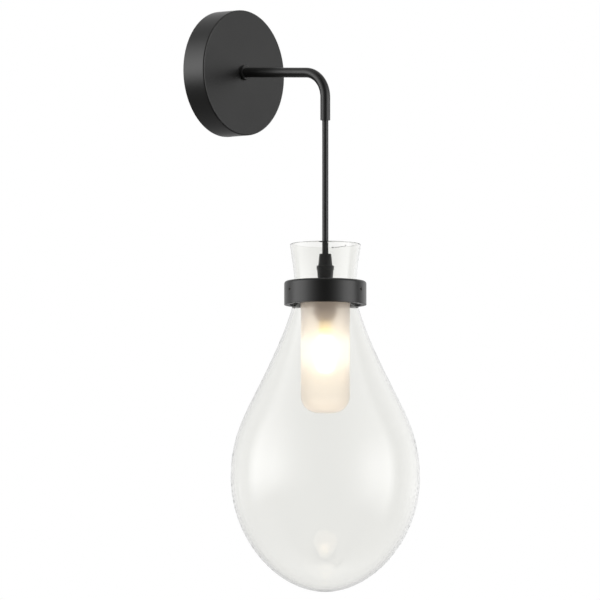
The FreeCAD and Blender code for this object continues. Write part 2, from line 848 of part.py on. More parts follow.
def bulb_pins():
    low = holder_foot_z - slip_gap - pin_in_pinch
    pins = []
    for side in (-1, 1):
        foot = hung(side * pin_pitch / 2, low)
        pins.append(rod(pin_r, foot, foot + Z * pin_length))
    return group(pins)


def bulb_glass():
    pinch_top = holder_foot_z - slip_gap
    pinch = block(pinch_w, pinch_t, pinch_h + capsule_step, hung(0, pinch_top - (pinch_h + capsule_step) / 2))
    upright = [edge for edge in pinch.Edges if edge.BoundBox.ZLength > pinch_h]
    pinch = pinch.makeFillet(pinch_corner_r, upright)
    foot = capsule_top_z - capsule_h
    shell = lathe([(0, capsule_top_z), (capsule_r, capsule_top_z), (capsule_r, foot), (0, foot)],
                  [(capsule_r, foot, capsule_r - capsule_wall), (capsule_r, capsule_top_z, capsule_step)])
    inner_r = capsule_r - capsule_wall
    inner_top = capsule_top_z - capsule_step - capsule_wall
    inner_foot = foot + capsule_wall
    hollow = lathe([(0, inner_top), (inner_r, inner_top), (inner_r, inner_foot), (0, inner_foot)],
                   [(inner_r, inner_foot, inner_r - capsule_wall * 2)])
    body = shell.fuse(pinch).cut(hollow)
    for side in (-1, 1):
        hole_top = hung(side * pin_pitch / 2, pinch_top + overrun)
        hole_depth = pin_in_pinch + overrun + thread_gap
        body = body.cut(rod(pin_r + thread_gap, hole_top, hole_top - Z * hole_depth))
    return body


def bulb_filament():
    top = capsule_top_z - capsule_step - capsule_wall
    low = top - filament_drop
    half = filament_span / 2
    coil = rod(filament_r, hung(-half, low), hung(half, low))
    for side in (-1, 1):
        coil = coil.fuse(rod(filament_leg_r, hung(side * half, low), hung(side * half, top)))
    return coil


pieces = {
    "wall_bracket": wall_bracket,
    "ground_screw": ground_screw,
    "ground_terminal": ground_terminal,
    "ground_wire": ground_wire,
    "line_wires": line_wires,
    "wire_connectors": wire_connectors,
    "canopy": canopy,
    "canopy_screws": canopy_screws,
    "arm_tube": arm_tube,
    "arm_collar": arm_collar,
    "arm_lock_washer": arm_lock_washer,
    "arm_lock_nut": arm_lock_nut,
    "arm_end_bush": arm_end_bush,
    "mouth_bush": mouth_bush,
    "arm_cord": arm_cord,
    "cord_bend": cord_bend,
    "pendant_cord": pendant_cord,
    "grip_nut": grip_nut,
    "grip_sleeve": grip_sleeve,
    "grip_body": grip_body,
    "nipple": nipple,
    "nipple_nut": nipple_nut,
    "holder_cup": holder_cup,
    "collar_ring": collar_ring,
    "collar_screws": collar_screws,
    "screw_sleeves": screw_sleeves,
    "neck_seat": neck_seat,
    "glass_shade": glass_shade,
    "frosted_tube": frosted_tube,
    "tube_washer": tube_washer,
    "tube_retainer": tube_retainer,
    "holder_bracket": holder_bracket,
    "bracket_screws": bracket_screws,
    "lamp_holder": lamp_holder,
    "lamp_contacts": lamp_contacts,
    "lamp_leads": lamp_leads,
    "bulb_glass": bulb_glass,
    "bulb_pins": bulb_pins,
    "bulb_filament": bulb_filament,
}

os.makedirs("parts", exist_ok=True)
for name, make in pieces.items():
    shape = make()
    shape.exportStep(os.path.join("parts", name + ".step"))
    box = shape.BoundBox
    print(f"{name:18s} solids {len(shape.Solids)} valid {shape.isValid()} volume {shape.Volume:10.1f}"
          f"  x {box.XMin:7.1f} {box.XMax:7.1f}  y {box.YMin:7.1f} {box.YMax:7.1f}"
          f"  z {box.ZMin:7.1f} {box.ZMax:7.1f}")
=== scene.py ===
import json
import math

import bpy
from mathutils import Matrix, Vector


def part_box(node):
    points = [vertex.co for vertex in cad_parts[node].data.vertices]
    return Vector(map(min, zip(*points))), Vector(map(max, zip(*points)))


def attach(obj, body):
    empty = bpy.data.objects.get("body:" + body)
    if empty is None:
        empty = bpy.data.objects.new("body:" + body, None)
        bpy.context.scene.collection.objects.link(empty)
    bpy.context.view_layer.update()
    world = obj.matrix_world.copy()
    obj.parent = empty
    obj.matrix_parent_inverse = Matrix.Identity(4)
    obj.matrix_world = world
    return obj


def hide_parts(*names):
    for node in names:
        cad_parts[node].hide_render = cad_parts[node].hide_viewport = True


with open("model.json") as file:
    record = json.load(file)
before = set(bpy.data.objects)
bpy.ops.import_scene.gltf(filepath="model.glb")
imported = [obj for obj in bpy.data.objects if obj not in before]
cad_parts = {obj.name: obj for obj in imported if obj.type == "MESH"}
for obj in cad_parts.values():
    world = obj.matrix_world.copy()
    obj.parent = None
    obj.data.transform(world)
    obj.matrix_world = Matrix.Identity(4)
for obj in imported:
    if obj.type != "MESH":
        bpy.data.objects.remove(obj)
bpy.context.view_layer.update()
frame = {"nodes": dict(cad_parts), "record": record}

# A wall sconce: black powder-coated canopy and arm, a cord, and a lit lamp in a frosted tube
# inside a large clear blown shade. Metres, Z up, the wall is the plane Y = 0, the room at -Y.

MM = 0.001

# Places that the cord, the looks and the camera need, from the frame
PENDANT_X = 0.0
PENDANT_Y = sum(corner.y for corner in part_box("glass_shade")) / 2
ARM_MOUTH_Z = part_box("arm_tube")[0].z
CORD_TOP_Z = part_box("pendant_cord")[1].z
CORD_FOOT_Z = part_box("pendant_cord")[0].z
TUBE_TOP_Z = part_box("frosted_tube")[1].z
TUBE_FOOT_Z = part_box("frosted_tube")[0].z
LAMP_TOP_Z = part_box("bulb_glass")[1].z
LAMP_FOOT_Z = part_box("bulb_glass")[0].z

# The cord, with enough points round half of it and a curve of order 3 through its three points
CORD_DIAMETER = 6.0 * MM
CORD_ROUNDNESS = 8
CORD_ORDER = 3

# Real sizes of the grain, waves and marks in each finish
PEEL_WAVE = 1.5 * MM
PEEL_DEPTH = 0.010 * MM
COAT_CLOUD = 45 * MM
OXIDE_MOTTLE = 0.8 * MM
OXIDE_DEPTH = 0.010 * MM
PLATE_CLOUD = 12 * MM
BRUSH_LINE = 0.5 * MM
BRUSH_DEPTH = 0.004 * MM
DYE_CLOUD = 2 * MM
LATHE_RING = 0.35 * MM
LATHE_DEPTH = 0.006 * MM
TARNISH = 5 * MM
WIRE_LINE = 0.2 * MM
LAY_WAVE = 1.2 * MM
LAY_DEPTH = 0.008 * MM
SHEATH_GRAIN = 0.4 * MM
MOULD_GRAIN = 0.6 * MM
MOULD_DEPTH = 0.008 * MM
GLAZE_SPECK = 1.8 * MM
GLAZE_CLOUD = 6 * MM
GLASS_WAVE = 40 * MM
GLASS_WAVE_DEPTH = 0.02 * MM
ETCH_GRAIN = 0.5 * MM
ETCH_DEPTH = 0.01 * MM
CAPSULE_CLOUD = 4 * MM

# How much a pattern is drawn out along a piece, as shares of its size
BRUSH_SHARES = (1.0, 1.0, 0.08)
DRAWN_SHARES = (1.0, 1.0, 0.05)

# The speck's radius as a share of the space between specks, how strongly the frosted tube's painted glow
# shines (painted light for the lamp's light through the frost), and how strongly the lamp glows
SPECK_SHARE = 0.07
TUBE_PAINTED_GLOW = 0.42
LAMP_GLOW = 2.0


# Colours and nodes

def linear(code):
    """Linear red, green, blue and alpha from an sRGB hex code."""
    channels = [int(code[start:start + 2], 16) / 255 for start in (1, 3, 5)]
    toned = [c / 12.92 if c <= 0.04045 else ((c + 0.055) / 1.055) ** 2.4 for c in channels]
    return (*toned, 1.0)


def add(tree, kind, inputs=None, stops=(), **settings):
    """Adds a node with its settings and links. An input is a value or the socket that feeds it,
    and stops are the (share, colour) pairs of a colour ramp."""
    node = tree.nodes.new(kind)
    for name, value in settings.items():
        setattr(node, name, value)
    for name, value in (inputs or {}).items():
        if isinstance(value, bpy.types.NodeSocket):
            tree.links.new(value, node.inputs[name])
        else:
            node.inputs[name].default_value = value
    for number, (share, colour) in enumerate(stops):
        elements = node.color_ramp.elements
        element = elements[number] if number < len(elements) else elements.new(share)
        element.position = share
        element.color = colour
    return node


def new_material(name):
    """An empty material, its node tree and its object coordinates, which are metres."""
    material = bpy.data.materials.new(name)
    material.use_nodes = True
    tree = material.node_tree
    tree.nodes.clear()
    place = add(tree, "ShaderNodeTexCoord").outputs["Object"]
    return material, tree, place


# Metals and coats

def black_powder_coat():
    """Polyester powder coat, sprayed and baked on steel: near black, with a wide soft sheen and
    faint orange peel."""
    material, tree, place = new_material("black_powder_coat")
    peel = add(tree, "ShaderNodeTexNoise", {"Vector": place, "Scale": 1 / PEEL_WAVE, "Detail": 3.0})
    cloud = add(tree, "ShaderNodeTexNoise", {"Vector": place, "Scale": 1 / COAT_CLOUD})
    colour = add(tree, "ShaderNodeMix", {0: cloud.outputs["Fac"], 6: linear("#131313"), 7: linear("#181817")},
                 data_type="RGBA")
    gloss = add(tree, "ShaderNodeMapRange", {"Value": cloud.outputs["Fac"], "To Min": 0.31, "To Max": 0.37})
    bump = add(tree, "ShaderNodeBump", {"Height": peel.outputs["Fac"], "Distance": PEEL_DEPTH})
    shader = add(tree, "ShaderNodeBsdfPrincipled", {
        "Base Color": colour.outputs[2],
        "Roughness": gloss.outputs[0],
        "IOR": 1.5,
        "Normal": bump.outputs[0],
    })
    add(tree, "ShaderNodeOutputMaterial", {"Surface": shader.outputs[0]})
    return material


def blackened_screw():
    """Black oxide on steel: dark, a little oily and mottled."""
    material, tree, place = new_material("blackened_screw")
    mottle = add(tree, "ShaderNodeTexNoise", {"Vector": place, "Scale": 1 / OXIDE_MOTTLE, "Detail": 4.0})
    colour = add(tree, "ShaderNodeMix",
                 {0: mottle.outputs["Fac"], 6: linear("#4c4a48"), 7: linear("#5c5a57")}, data_type="RGBA")
    gloss = add(tree, "ShaderNodeMapRange", {"Value": mottle.outputs["Fac"], "To Min": 0.38, "To Max": 0.55})
    bump = add(tree, "ShaderNodeBump", {"Height": mottle.outputs["Fac"], "Distance": OXIDE_DEPTH})
    shader = add(tree, "ShaderNodeBsdfPrincipled", {
        "Base Color": colour.outputs[2],
        "Metallic": 1.0,
        "Roughness": gloss.outputs[0],
        "Normal": bump.outputs[0],
    })
    add(tree, "ShaderNodeOutputMaterial", {"Surface": shader.outputs[0]})
    return material


def zinc_plated_steel():
    """Bright zinc plate on pressed steel: silver with a faint blue and yellow passivation, and
    fine lines from the strip's rolling."""
    material, tree, place = new_material("zinc_plated_steel")
    cloud = add(tree, "ShaderNodeTexNoise", {"Vector": place, "Scale": 1 / PLATE_CLOUD, "Detail": 4.0})
    along = add(tree, "ShaderNodeMapping", {"Vector": place, "Scale": BRUSH_SHARES})
    brushed = add(tree, "ShaderNodeTexNoise", {"Vector": along.outputs[0], "Scale": 1 / BRUSH_LINE})
    colour = add(tree, "ShaderNodeMix", {0: cloud.outputs["Fac"], 6: linear("#b9bec6"), 7: linear("#cfcab8")},
                 data_type="RGBA")
    gloss = add(tree, "ShaderNodeMapRange", {"Value": brushed.outputs["Fac"], "To Min": 0.24, "To Max": 0.42})
    bump = add(tree, "ShaderNodeBump", {"Height": brushed.outputs["Fac"], "Distance": BRUSH_DEPTH})
    shader = add(tree, "ShaderNodeBsdfPrincipled", {
        "Base Color": colour.outputs[2],
        "Metallic": 1.0,
        "Roughness": gloss.outputs[0],
        "Normal": bump.outputs[0],
    })
    add(tree, "ShaderNodeOutputMaterial", {"Surface": shader.outputs[0]})
    return material


def green_screw():
    """Green dyed plate on the earth screw: a metal sheen under a clear green."""
    material, tree, place = new_material("green_screw")
    cloud = add(tree, "ShaderNodeTexNoise", {"Vector": place, "Scale": 1 / DYE_CLOUD, "Detail": 3.0})
    colour = add(tree, "ShaderNodeMix", {0: cloud.outputs["Fac"], 6: linear("#2f7d45"), 7: linear("#4c9a5c")},
                 data_type="RGBA")
    gloss = add(tree, "ShaderNodeMapRange", {"Value": cloud.outputs["Fac"], "To Min": 0.28, "To Max": 0.45})
    shader = add(tree, "ShaderNodeBsdfPrincipled", {
        "Base Color": colour.outputs[2],
        "Metallic": 1.0,
        "Roughness": gloss.outputs[0],
    })
    add(tree, "ShaderNodeOutputMaterial", {"Surface": shader.outputs[0]})
    return material


def brass():
    """Turned brass: warm yellow, with the lathe's rings along its axis."""
    material, tree, place = new_material("brass")
    rings = add(tree, "ShaderNodeTexWave",
                {"Vector": place, "Scale": 1 / (LATHE_RING * math.tau), "Distortion": 0.4},
                bands_direction="Z")
    tarnish = add(tree, "ShaderNodeTexNoise", {"Vector": place, "Scale": 1 / TARNISH, "Detail": 4.0})
    colour = add(tree, "ShaderNodeMix",
                 {0: tarnish.outputs["Fac"], 6: linear("#c9a460"), 7: linear("#b08845")}, data_type="RGBA")
    gloss = add(tree, "ShaderNodeMapRange", {"Value": tarnish.outputs["Fac"], "To Min": 0.22, "To Max": 0.40})
    bump = add(tree, "ShaderNodeBump", {"Height": rings.outputs["Fac"], "Distance": LATHE_DEPTH})
    shader = add(tree, "ShaderNodeBsdfPrincipled", {
        "Base Color": colour.outputs[2],
        "Metallic": 1.0,
        "Roughness": gloss.outputs[0],
        "Normal": bump.outputs[0],
    })
    add(tree, "ShaderNodeOutputMaterial", {"Surface": shader.outputs[0]})
    return material


def lamp_metal():
    """Drawn nickel wire: pale grey and satin, with lines along its length."""
    material, tree, place = new_material("lamp_metal")
    along = add(tree, "ShaderNodeMapping", {"Vector": place, "Scale": DRAWN_SHARES})
    lines = add(tree, "ShaderNodeTexNoise", {"Vector": along.outputs[0], "Scale": 1 / WIRE_LINE})
    gloss = add(tree, "ShaderNodeMapRange", {"Value": lines.outputs["Fac"], "To Min": 0.25, "To Max": 0.40})
    shader = add(tree, "ShaderNodeBsdfPrincipled", {
        "Base Color": linear("#c4c1bb"),
        "Metallic": 1.0,
        "Roughness": gloss.outputs[0],
    })
    add(tree, "ShaderNodeOutputMaterial", {"Surface": shader.outputs[0]})
    return material


# Plastics, rubbers and ceramic

def cord_jacket():
    """Extruded PVC sheath: black and satin, with long shallow waves where the cores lie under it."""
    material, tree, place = new_material("cord_jacket")
    along = add(tree, "ShaderNodeMapping", {"Vector": place, "Scale": DRAWN_SHARES})
    lay = add(tree, "ShaderNodeTexNoise", {"Vector": along.outputs[0], "Scale": 1 / LAY_WAVE})
    skin = add(tree, "ShaderNodeTexNoise", {"Vector": place, "Scale": 1 / SHEATH_GRAIN, "Detail": 3.0})
    colour = add(tree, "ShaderNodeMix", {0: skin.outputs["Fac"], 6: linear("#111111"), 7: linear("#161615")},
                 data_type="RGBA")
    gloss = add(tree, "ShaderNodeMapRange", {"Value": skin.outputs["Fac"], "To Min": 0.35, "To Max": 0.43})
    bump = add(tree, "ShaderNodeBump", {"Height": lay.outputs["Fac"], "Distance": LAY_DEPTH})
    shader = add(tree, "ShaderNodeBsdfPrincipled", {
        "Base Color": colour.outputs[2],
        "Roughness": gloss.outputs[0],
        "IOR": 1.53,
        "Normal": bump.outputs[0],
    })
    add(tree, "ShaderNodeOutputMaterial", {"Surface": shader.outputs[0]})
    return material


def moulded(name, low_code, high_code, roughness, ior):
    """A moulded or extruded plastic or rubber, with the fine matt skin that its tool leaves. The
    gloss wanders from a little under to a little over the roughness that is given."""
    material, tree, place = new_material(name)
    skin = add(tree, "ShaderNodeTexNoise", {"Vector": place, "Scale": 1 / MOULD_GRAIN, "Detail": 3.0})
    colour = add(tree, "ShaderNodeMix", {0: skin.outputs["Fac"], 6: linear(low_code), 7: linear(high_code)},
                 data_type="RGBA")
    gloss = add(tree, "ShaderNodeMapRange",
                {"Value": skin.outputs["Fac"], "To Min": roughness - 0.05, "To Max": roughness + 0.08})
    bump = add(tree, "ShaderNodeBump", {"Height": skin.outputs["Fac"], "Distance": MOULD_DEPTH})
    shader = add(tree, "ShaderNodeBsdfPrincipled", {
        "Base Color": colour.outputs[2],
        "Roughness": gloss.outputs[0],
        "IOR": ior,
        "Normal": bump.outputs[0],
    })
    add(tree, "ShaderNodeOutputMaterial", {"Surface": shader.outputs[0]})
    return material


def earth_insulation():
    """Green PVC on the earth core: satin, from the extruder."""
    return moulded("earth_insulation", "#1f7a36", "#2a8a42", 0.42, 1.53)


def lead_insulation():
    """Silicone-coated glass-fibre sleeve on the lamp leads: off-white and matt."""
    return moulded("lead_insulation", "#dedbd2", "#e8e5dd", 0.55, 1.43)


def connector_plastic():
    """Moulded polypropylene wire connector: orange with a low gloss."""
    return moulded("connector_plastic", "#d07a1e", "#dd8a2c", 0.32, 1.49)


def bush_plastic():
    """Moulded natural nylon: milky white and satin."""
    return moulded("bush_plastic", "#dcdbd5", "#e6e5e0", 0.45, 1.53)


def black_silicone():
    """Moulded silicone rubber: black and dead matt."""
    return moulded("black_silicone", "#1a1a1a", "#222221", 0.60, 1.43)


def clear_silicone():
    """Moulded silicone rubber without pigment: cloudy white and matt."""
    return moulded("clear_silicone", "#c9c8c2", "#d8d7d2", 0.50, 1.43)


def line_insulation():
    """PVC on the two supply cores: one black and one white, told apart by their side."""
    material, tree, place = new_material("line_insulation")
    across = add(tree, "ShaderNodeSeparateXYZ", {"Vector": place})
    side = add(tree, "ShaderNodeMath", {0: across.outputs["X"], 1: 0.0}, operation="GREATER_THAN")
    skin = add(tree, "ShaderNodeTexNoise", {"Vector": place, "Scale": 1 / MOULD_GRAIN})
    colour = add(tree, "ShaderNodeMix", {0: side.outputs[0], 6: linear("#1c1c1c"), 7: linear("#e2e0da")},
                 data_type="RGBA")
    gloss = add(tree, "ShaderNodeMapRange", {"Value": skin.outputs["Fac"], "To Min": 0.35, "To Max": 0.48})
    shader = add(tree, "ShaderNodeBsdfPrincipled", {
        "Base Color": colour.outputs[2],
        "Roughness": gloss.outputs[0],
        "IOR": 1.53,
    })
    add(tree, "ShaderNodeOutputMaterial", {"Surface": shader.outputs[0]})
    return material


def ceramic():
    """Glazed steatite with tiny dark specks under the glaze, drawn a grey-brown darker than white
    steatite: painted shade for the holder sitting in shadow inside the tube.
    """
    material, tree, place = new_material("ceramic")
    cells = add(tree, "ShaderNodeTexVoronoi", {"Vector": place, "Scale": 1 / GLAZE_SPECK})
    speck = add(tree, "ShaderNodeMath", {0: cells.outputs["Distance"], 1: SPECK_SHARE}, operation="LESS_THAN")
    cloud = add(tree, "ShaderNodeTexNoise", {"Vector": place, "Scale": 1 / GLAZE_CLOUD})
    # Painted shade: both glaze colours are darker than white steatite, for the holder in shadow inside the
    # tube; the dark specks are the glaze's own
    colour = add(tree, "ShaderNodeMix", {0: speck.outputs[0], 6: linear("#aca096"), 7: linear("#92847a")},
                 data_type="RGBA")
    gloss = add(tree, "ShaderNodeMapRange", {"Value": cloud.outputs["Fac"], "To Min": 0.22, "To Max": 0.34})
    shader = add(tree, "ShaderNodeBsdfPrincipled", {
        "Base Color": colour.outputs[2],
        "Roughness": gloss.outputs[0],
        "IOR": 1.55,
        "Coat Weight": 0.3,
        "Coat Roughness": 0.12,
    })
    add(tree, "ShaderNodeOutputMaterial", {"Surface": shader.outputs[0]})
    return material


# Glass

def clear_glass():
    """Mouth-blown soda-lime glass: clear and neutral, with slow waves in its skin."""
    material, tree, place = new_material("clear_glass")
    wave = add(tree, "ShaderNodeTexNoise", {"Vector": place, "Scale": 1 / GLASS_WAVE, "Detail": 1.0})
    bump = add(tree, "ShaderNodeBump", {"Height": wave.outputs["Fac"], "Distance": GLASS_WAVE_DEPTH})
    shader = add(tree, "ShaderNodeBsdfPrincipled", {
        "Base Color": linear("#fafaf8"),
        "Roughness": 0.0,
        "IOR": 1.5,
        "Transmission Weight": 1.0,
        "Normal": bump.outputs[0],
    })
    add(tree, "ShaderNodeOutputMaterial", {"Surface": shader.outputs[0]})
    return material


def frosted_glass():
    """Acid-frosted borosilicate tube, milky, with painted light: an emission that stands in for the lamp's
    light through the frost, brightest beside the lamp, cream below it, and dim at the top as a painted
    shadow of the lamp holder, which also shows through blurred."""
    material, tree, place = new_material("frosted_glass")
    height = add(tree, "ShaderNodeSeparateXYZ", {"Vector": place})
    down = add(tree, "ShaderNodeMapRange",
               {"Value": height.outputs["Z"], "From Min": TUBE_TOP_Z, "From Max": TUBE_FOOT_Z})
    # Painted light: the tube's glow by height stands in for the lamp's light through the frost, with painted
    # shade at the top for the lamp holder's shadow
    glow = add(tree, "ShaderNodeValToRGB", {"Fac": down.outputs[0]},
               [(0.04, linear("#6b635d")), (0.20, linear("#867d75")), (0.32, linear("#a69e93")),
                (0.42, linear("#c4beb4")), (0.54, linear("#c0bab0")), (0.68, linear("#9e968c")),
                (0.86, linear("#928b83")), (1.0, linear("#a69c92"))])
    etch = add(tree, "ShaderNodeTexNoise", {"Vector": place, "Scale": 1 / ETCH_GRAIN, "Detail": 3.0})
    gloss = add(tree, "ShaderNodeMapRange", {"Value": etch.outputs["Fac"], "To Min": 0.31, "To Max": 0.39})
    bump = add(tree, "ShaderNodeBump", {"Height": etch.outputs["Fac"], "Distance": ETCH_DEPTH})
    shader = add(tree, "ShaderNodeBsdfPrincipled", {
        "Base Color": linear("#f8f4ee"),
        "Roughness": gloss.outputs[0],
        "IOR": 1.47,
        "Transmission Weight": 0.96,
        "Emission Color": glow.outputs["Color"],
        "Emission Strength": TUBE_PAINTED_GLOW,
        "Normal": bump.outputs[0],
    })
    add(tree, "ShaderNodeOutputMaterial", {"Surface": shader.outputs[0]})
    return material


def lamp_glass():
    """The lit lamp's capsule: clear fused quartz that glows warm white, and yellow at its flat
    pinched end beside the holder."""
    material, tree, place = new_material("lamp_glass")
    height = add(tree, "ShaderNodeSeparateXYZ", {"Vector": place})
    down = add(tree, "ShaderNodeMapRange",
               {"Value": height.outputs["Z"], "From Min": LAMP_TOP_Z, "From Max": LAMP_FOOT_Z})
    glow = add(tree, "ShaderNodeValToRGB", {"Fac": down.outputs[0]},
               [(0.10, linear("#40381a")), (0.28, linear("#9c9050")), (0.45, linear("#fff0d4")),
                (1.0, linear("#fff0d4"))])
    cloud = add(tree, "ShaderNodeTexNoise", {"Vector": place, "Scale": 1 / CAPSULE_CLOUD})
    colour = add(tree, "ShaderNodeMix", {0: cloud.outputs["Fac"], 6: linear("#fff4e2"), 7: linear("#fffaf0")},
                 data_type="RGBA")
    shader = add(tree, "ShaderNodeBsdfPrincipled", {
        "Base Color": colour.outputs[2],
        "Roughness": 0.1,
        "IOR": 1.46,
        "Transmission Weight": 0.6,
        "Emission Color": glow.outputs["Color"],
        "Emission Strength": LAMP_GLOW,
    })
    add(tree, "ShaderNodeOutputMaterial", {"Surface": shader.outputs[0]})
    return material


FINISHES = {finish.__name__: finish for finish in (
    black_powder_coat, blackened_screw, zinc_plated_steel, green_screw, brass, lamp_metal, cord_jacket,
    line_insulation, earth_insulation, lead_insulation, connector_plastic, bush_plastic, black_silicone,
    clear_silicone, clear_glass, frosted_glass, lamp_glass, ceramic)}


def dress(made):
    """Gives each node of the frame the finish that the record names for it."""
    for row in frame["record"]["subparts"]:
        slots = frame["nodes"][row["node"]].data.materials
        slots.clear()
        slots.append(made[row["material_slot"]])


# The cord

def hang_cord(jacket):
    """The free cord, pulled straight by the shade, from the arm's mouth into the grip."""
    line = bpy.data.curves.new("hanging_cord", "CURVE")
    line.dimensions = "3D"
    line.bevel_depth = CORD_DIAMETER / 2
    line.bevel_resolution = CORD_ROUNDNESS
    line.use_fill_caps = True
    spline = line.splines.new("NURBS")
    heights = [CORD_TOP_Z, (CORD_TOP_Z + CORD_FOOT_Z) / 2, CORD_FOOT_Z]
    spline.points.add(len(heights) - 1)
    for point, height in zip(spline.points, heights):
        point.co = (PENDANT_X, PENDANT_Y, height, 1.0)
    spline.order_u = CORD_ORDER
    spline.use_endpoint_u = True
    cord = bpy.data.objects.new("hanging_cord", line)
    bpy.context.scene.collection.objects.link(cord)
    line.materials.append(jacket)
    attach(cord, "cord")
    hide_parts("pendant_cord")


# Camera, floor, world and lamps

# The photograph is taken from the light's left side and from a little below, from far off. Its
# frame's width and middle are given where the pendant hangs.
VIEW_TURN = math.radians(-50)
VIEW_RISE = math.radians(-5)
VIEW_DISTANCE = 20.0
FRAME_WIDTH = 573.6 * MM
SENSOR = 36.0
CLIP_START = 1.0
CLIP_END = 100.0
AXIS_RIGHT_OF_MIDDLE = 24.2 * MM
MIDDLE_BELOW_MOUTH = 172.7 * MM
TO_CAMERA = Vector((math.sin(VIEW_TURN) * math.cos(VIEW_RISE),
                    -math.cos(VIEW_TURN) * math.cos(VIEW_RISE),
                    math.sin(VIEW_RISE)))
VIEW_RIGHT = Vector((math.cos(VIEW_TURN), math.sin(VIEW_TURN), 0.0))
MIDDLE = Vector((PENDANT_X, PENDANT_Y, ARM_MOUTH_Z - MIDDLE_BELOW_MOUTH))

# The floor lies low enough for the object to be seen from well below, and its glow makes it white
# to the eye
FLOOR_BELOW_MIDDLE = 12.0
FLOOR_HALF_WIDTH = 60.0
FLOOR_GLOW = 0.58

# The lamps, with their turns in degrees from the camera's bearing
LAMP_SIZE = 1.3
LAMP_POWER = 30
LEFT_LAMP_TURN = -75
RIGHT_LAMP_TURN = 75
SIDE_LAMP_DISTANCE = 2.2
SIDE_LAMP_HEIGHT = 0.3
TOP_LAMP_TURN = 20
TOP_LAMP_DISTANCE = 0.8
TOP_LAMP_HEIGHT = 2.2

# The world's strengths: all that scatters light, gloss in and behind glass, and other gloss
SOFT_STRENGTH = 0.55
INNER_GLOSS_STRENGTH = 0.9
PANEL_STRENGTH = 3.2

# The world's brightness, as (share, brightness) pairs. Round it, the middle share is the camera's
# side, and up it, the middle share is level.
ROOM_ROUND_SHARES = ((0.0, 0.30), (0.15, 0.26), (0.22, 0.15), (0.40, 0.02), (0.50, 0.01), (0.60, 0.02),
                     (0.785, 0.0), (0.82, 0.24), (0.87, 0.42), (1.0, 0.30))
ROOM_UP_SHARES = ((0.0, 0.25), (0.35, 0.45), (0.50, 1.0), (0.75, 0.70), (1.0, 0.50))
LEFT_ROUND_SHARES = ((0.19, 0.0), (0.235, 1.0), (0.32, 1.0), (0.40, 0.25), (0.46, 0.0))
LEFT_UP_SHARES = ((0.36, 0.0), (0.50, 0.78), (0.58, 0.92), (0.74, 0.55), (0.88, 0.15), (1.0, 0.08))
RIGHT_ROUND_SHARES = ((0.54, 0.0), (0.60, 0.25), (0.66, 0.90), (0.735, 1.0), (0.768, 0.16), (0.785, 0.02),
                      (0.80, 0.0))
RIGHT_UP_SHARES = ((0.25, 0.0), (0.40, 0.70), (0.50, 1.0), (0.58, 1.0), (0.75, 0.40), (1.0, 0.10))
BEHIND_GLASS_SHARES = ((0.12, 1.0), (0.24, 0.65), (0.32, 0.35), (0.50, 0.25), (0.68, 0.35), (0.76, 0.65),
                       (0.88, 1.0))


def place_camera():
    """A camera far off, because the photograph has almost no perspective."""
    camera = bpy.data.cameras.new("camera")
    camera.sensor_width = SENSOR
    camera.lens = SENSOR * VIEW_DISTANCE / FRAME_WIDTH
    camera.clip_start = CLIP_START
    camera.clip_end = CLIP_END
    looker = bpy.data.objects.new("camera", camera)
    bpy.context.scene.collection.objects.link(looker)
    looker.location = MIDDLE - VIEW_RIGHT * AXIS_RIGHT_OF_MIDDLE + TO_CAMERA * VIEW_DISTANCE
    looker.rotation_euler = (-TO_CAMERA).to_track_quat("-Z", "Y").to_euler()
    bpy.context.scene.camera = looker


def lay_floor():
    """A plain pale floor far below the wall light, which keeps its shadow. It is white to the
    eye. Gloss and glass don't meet it and show the world, which has no edge there."""
    half = FLOOR_HALF_WIDTH
    mesh = bpy.data.meshes.new("floor")
    mesh.from_pydata([(-half, -half, 0), (half, -half, 0), (half, half, 0), (-half, half, 0)], [],
                     [(0, 1, 2, 3)])
    floor = bpy.data.objects.new("floor", mesh)
    floor.location.z = MIDDLE.z - FLOOR_BELOW_MIDDLE
    floor.visible_glossy = False
    floor.visible_transmission = False
    bpy.context.scene.collection.objects.link(floor)
    material, tree, _ = new_material("pale_floor")
    paint = add(tree, "ShaderNodeBsdfDiffuse", {"Color": linear("#e8e8e6")})
    glow = add(tree, "ShaderNodeEmission", {"Color": linear("#ffffff"), "Strength": FLOOR_GLOW})
    lit = add(tree, "ShaderNodeAddShader", {0: paint.outputs[0], 1: glow.outputs[0]})
    path = add(tree, "ShaderNodeLightPath")
    seen = add(tree, "ShaderNodeMixShader",
               {0: path.outputs["Is Camera Ray"], 1: paint.outputs[0], 2: lit.outputs[0]})
    add(tree, "ShaderNodeOutputMaterial", {"Surface": seen.outputs[0]})
    mesh.materials.append(material)


def greys(shares):
    """The stops of a colour ramp from (share, brightness) pairs."""
    return [(share, (brightness, brightness, brightness, 1.0)) for share, brightness in shares]


def light_field(tree, turn, rise, round_shares, up_shares):
    """Light that changes with the bearing and with the height, from two lists of brightnesses."""
    round_view = add(tree, "ShaderNodeValToRGB", {"Fac": turn}, greys(round_shares))
    up_view = add(tree, "ShaderNodeValToRGB", {"Fac": rise}, greys(up_shares))
    both = add(tree, "ShaderNodeMix", {0: 1.0, 6: round_view.outputs[0], 7: up_view.outputs[0]},
               data_type="RGBA", blend_type="MULTIPLY")
    return both.outputs[2]


